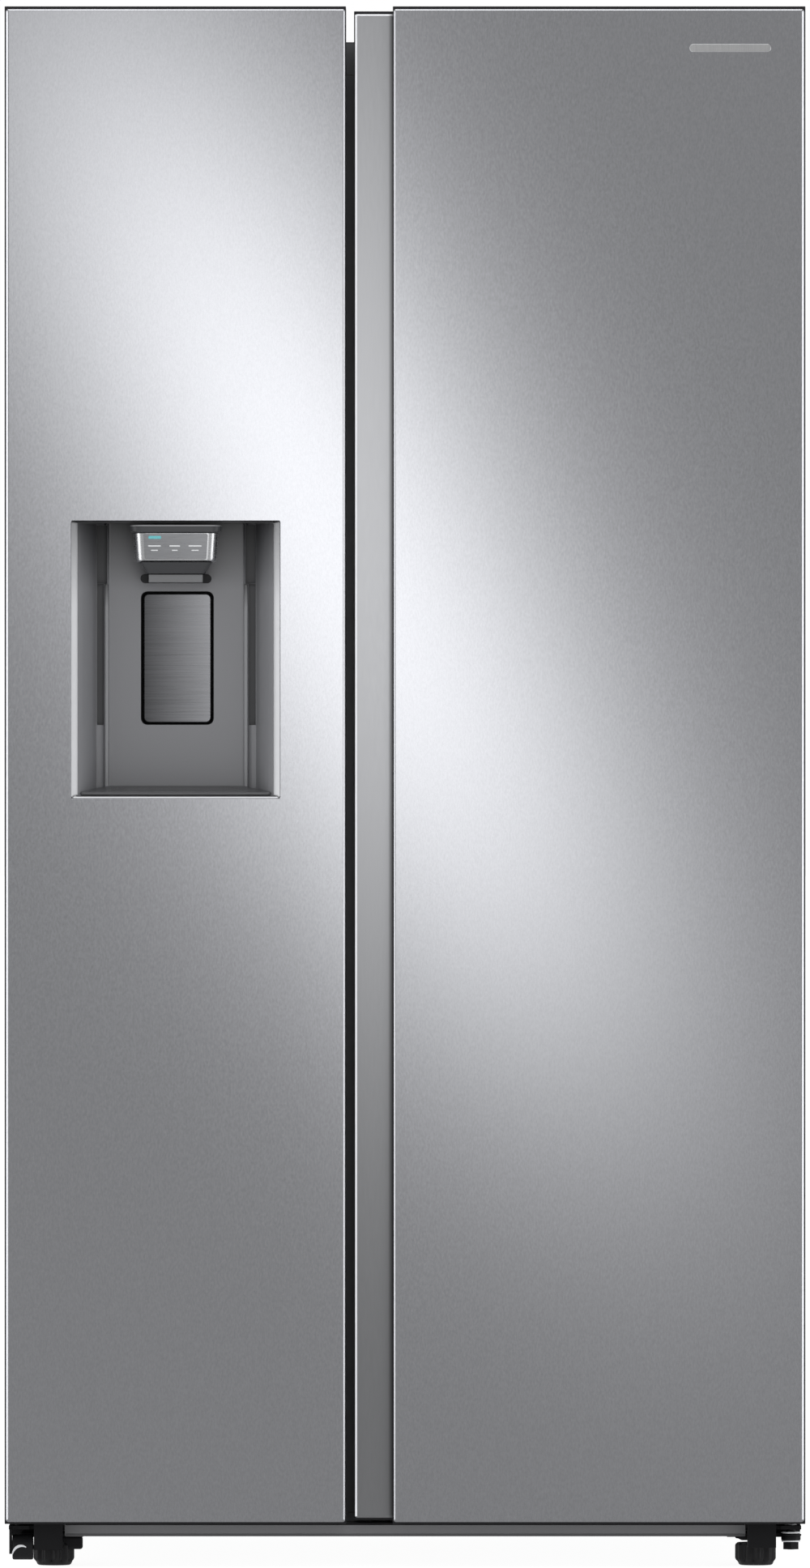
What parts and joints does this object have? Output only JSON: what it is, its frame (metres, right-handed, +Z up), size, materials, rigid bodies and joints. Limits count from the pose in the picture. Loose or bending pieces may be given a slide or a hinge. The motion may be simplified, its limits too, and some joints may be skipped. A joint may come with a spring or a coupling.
{
  "type": "side by side refrigerator",
  "caption": "Tall refrigerator in stainless steel: narrow freezer door with a recessed ice and water dispenser, wide fridge door with a set-back grip strip, cabinet on feet and rollers.",
  "frame": {"origin": "on the floor, under the middle of the whole object's box", "axes": "+Z up, the doors face -Y, +X to the right when facing the doors"},
  "size_m": [0.9148, 0.857, 1.7885],
  "materials": {
    "stainless_steel": "satin",
    "strip_silver": "satin",
    "case_paint": "satin",
    "cover_grey": "satin",
    "zinc_sheet": "satin",
    "rail_grey": "satin",
    "black_metal": "satin",
    "black_plastic": "satin",
    "roller_black": "satin",
    "liner_white": "satin",
    "clear_plastic": "gloss",
    "shelf_glass": "gloss",
    "foam": "matte",
    "gasket_grey": "matte",
    "dispenser_grey": "satin",
    "nose_silver": "satin",
    "lever_steel": "satin",
    "fin_aluminium": "satin"
  },
  "bodies": {
    "cabinet": {"outer_case": "case_paint", "back_panel": "zinc_sheet", "insulation_foam": "foam", "freezer_liner": "liner_white", "fridge_liner": "liner_white", "mullion_cover": "case_paint", "base_rail": "rail_grey", "base_plate": "zinc_sheet", "machine_cover": "zinc_sheet", "power_gland": "black_plastic", "compressor": "black_metal", "condenser": "black_metal", "drain_pan": "black_plastic", "fan_bracket": "zinc_sheet", "top_hinge_left": "zinc_sheet", "top_hinge_right": "zinc_sheet", "hinge_cover_left": "cover_grey", "hinge_cover_right": "cover_grey", "lower_bracket_left": "black_metal", "lower_bracket_right": "black_metal", "evaporator_cover": "liner_white", "evaporator": "fin_aluminium", "fridge_duct_cover": "liner_white", "freezer_shelf_lower": "shelf_glass", "freezer_shelf_upper": "shelf_glass", "fridge_shelf_lower": "shelf_glass", "fridge_shelf_middle": "shelf_glass", "fridge_shelf_upper": "shelf_glass"},
    "freezer_door": {"freezer_door_skin": "stainless_steel", "freezer_door_foam": "foam", "freezer_door_liner": "liner_white", "freezer_gasket": "gasket_grey", "dispenser_housing": "dispenser_grey", "dispenser_panel": "nose_silver", "dispenser_chute": "dispenser_grey", "drip_tray": "dispenser_grey", "ice_maker": "liner_white", "ice_bucket": "clear_plastic", "freezer_bin_lower": "clear_plastic", "freezer_bin_upper": "clear_plastic"},
    "fridge_door": {"fridge_door_skin": "stainless_steel", "grip_strip": "strip_silver", "fridge_door_foam": "foam", "fridge_door_liner": "liner_white", "fridge_gasket": "gasket_grey", "fridge_bin_lower": "clear_plastic", "fridge_bin_middle": "clear_plastic", "fridge_bin_upper": "clear_plastic"},
    "dispenser_lever": {"dispenser_lever": "lever_steel"},
    "freezer_drawer_lower": {"freezer_drawer_lower": "clear_plastic"},
    "freezer_drawer_upper": {"freezer_drawer_upper": "clear_plastic"},
    "crisper_drawer_lower": {"crisper_drawer_lower": "clear_plastic"},
    "crisper_drawer_upper": {"crisper_drawer_upper": "clear_plastic"},
    "condenser_fan": {"condenser_fan": "black_plastic"},
    "freezer_fan": {"freezer_fan": "black_plastic"},
    "leveling_foot_left": {"leveling_foot_left": "black_plastic"},
    "leveling_foot_right": {"leveling_foot_right": "black_plastic"},
    "roller_front_left": {"roller_front_left": "roller_black"},
    "roller_rear_left": {"roller_rear_left": "roller_black"},
    "roller_rear_right": {"roller_rear_right": "roller_black"}
  },
  "joints": [
    {"name": "freezer_door_hinge", "type": "hinge", "parent": "cabinet", "child": "freezer_door", "pos_m": [-0.442, -0.3665, 0.9], "axis": [0, 0, -1], "range_deg": [0, 130]},
    {"name": "fridge_door_hinge", "type": "hinge", "parent": "cabinet", "child": "fridge_door", "pos_m": [0.442, -0.3665, 0.9], "axis": [0, 0, 1], "range_deg": [0, 130]},
    {"name": "dispenser_lever_pivot", "type": "hinge", "parent": "freezer_door", "child": "dispenser_lever", "pos_m": [-0.26085, -0.3585, 1.1093], "axis": [1, 0, 0], "range_deg": [0, 5], "stiffness_Nm_per_rad": 2, "springref_deg": -5.73},
    {"name": "freezer_drawer_lower_slide", "type": "slide", "parent": "cabinet", "child": "freezer_drawer_lower", "axis": [0, -1, 0], "range_m": [0, 0.25]},
    {"name": "freezer_drawer_upper_slide", "type": "slide", "parent": "cabinet", "child": "freezer_drawer_upper", "axis": [0, -1, 0], "range_m": [0, 0.25]},
    {"name": "crisper_drawer_lower_slide", "type": "slide", "parent": "cabinet", "child": "crisper_drawer_lower", "axis": [0, -1, 0], "range_m": [0, 0.25]},
    {"name": "crisper_drawer_upper_slide", "type": "slide", "parent": "cabinet", "child": "crisper_drawer_upper", "axis": [0, -1, 0], "range_m": [0, 0.25]},
    {"name": "condenser_fan_spin", "type": "hinge", "parent": "cabinet", "child": "condenser_fan", "pos_m": [0.1245, 0.315, 0.158], "axis": [1, 0, 0], "continuous": true},
    {"name": "freezer_fan_spin", "type": "hinge", "parent": "cabinet", "child": "freezer_fan", "pos_m": [-0.2485, 0.3205, 1.18], "axis": [0, 1, 0], "continuous": true},
    {"name": "leveling_foot_left_turn", "type": "hinge", "parent": "cabinet", "child": "leveling_foot_left", "pos_m": [-0.4025, -0.33, 0], "axis": [0, 0, 1], "continuous": true},
    {"name": "leveling_foot_right_turn", "type": "hinge", "parent": "cabinet", "child": "leveling_foot_right", "pos_m": [0.4025, -0.33, 0], "axis": [0, 0, 1], "continuous": true},
    {"name": "roller_front_left_spin", "type": "hinge", "parent": "cabinet", "child": "roller_front_left", "pos_m": [-0.4374, -0.38, 0.0226], "axis": [1, 0, 0], "continuous": true},
    {"name": "roller_rear_left_spin", "type": "hinge", "parent": "cabinet", "child": "roller_rear_left", "pos_m": [-0.405, 0.37, 0.016], "axis": [1, 0, 0], "continuous": true},
    {"name": "roller_rear_right_spin", "type": "hinge", "parent": "cabinet", "child": "roller_rear_right", "pos_m": [0.405, 0.37, 0.016], "axis": [1, 0, 0], "continuous": true}
  ],
  "couplings": [
    {"joint": "freezer_drawer_lower_slide", "follows": "freezer_door_hinge", "m_per_rad": 0.11},
    {"joint": "freezer_drawer_upper_slide", "follows": "freezer_door_hinge", "m_per_rad": 0.11},
    {"joint": "crisper_drawer_lower_slide", "follows": "fridge_door_hinge", "m_per_rad": 0.11},
    {"joint": "crisper_drawer_upper_slide", "follows": "fridge_door_hinge", "m_per_rad": 0.11}
  ]
}
